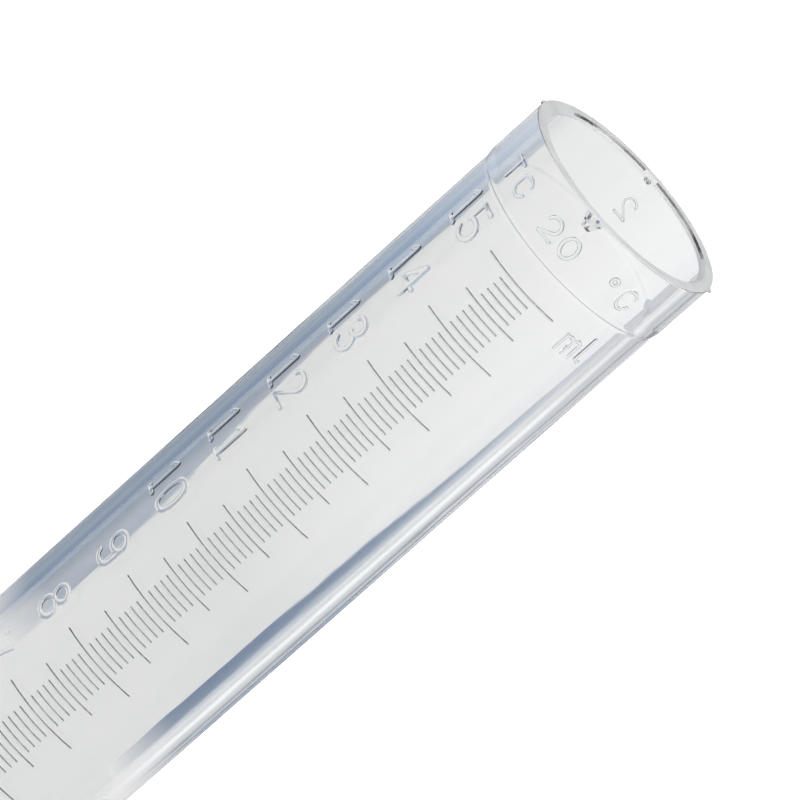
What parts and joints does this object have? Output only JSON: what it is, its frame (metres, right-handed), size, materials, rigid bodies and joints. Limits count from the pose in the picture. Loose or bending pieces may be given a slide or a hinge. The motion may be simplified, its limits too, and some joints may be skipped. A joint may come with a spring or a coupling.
{
  "type": "test tube",
  "caption": "Clear round-bottomed test tube with a thicker rim collar, an open mouth and a raised millilitre scale; holds small liquid samples in a rack.",
  "frame": {"origin": "lowest outside point of the round bottom, on the tube's axis", "axes": "+Z along the axis towards the open mouth; the scale faces -Y"},
  "size_m": [0.0172, 0.0172, 0.1],
  "materials": {
    "tube": "clear, polished, injection moulded",
    "marks": "clear, raised, moulded with the wall"
  },
  "bodies": {
    "root": {"tube_wall": "tube", "round_bottom": "tube", "rim_collar": "tube", "gate_vestiges": "marks", "parting_nibs": "marks", "major_graduations": "marks", "half_graduations": "marks", "minor_graduations": "marks", "unit_mark_ml": "marks", "collar_marking": "marks", "cavity_number": "marks", "numeral_01": "marks", "numeral_02": "marks", "numeral_03": "marks", "numeral_04": "marks", "numeral_05": "marks", "numeral_06": "marks", "numeral_07": "marks", "numeral_08": "marks", "numeral_09": "marks", "numeral_10": "marks", "numeral_11": "marks", "numeral_12": "marks", "numeral_13": "marks", "numeral_14": "marks", "numeral_15": "marks"}
  },
  "joints": []
}
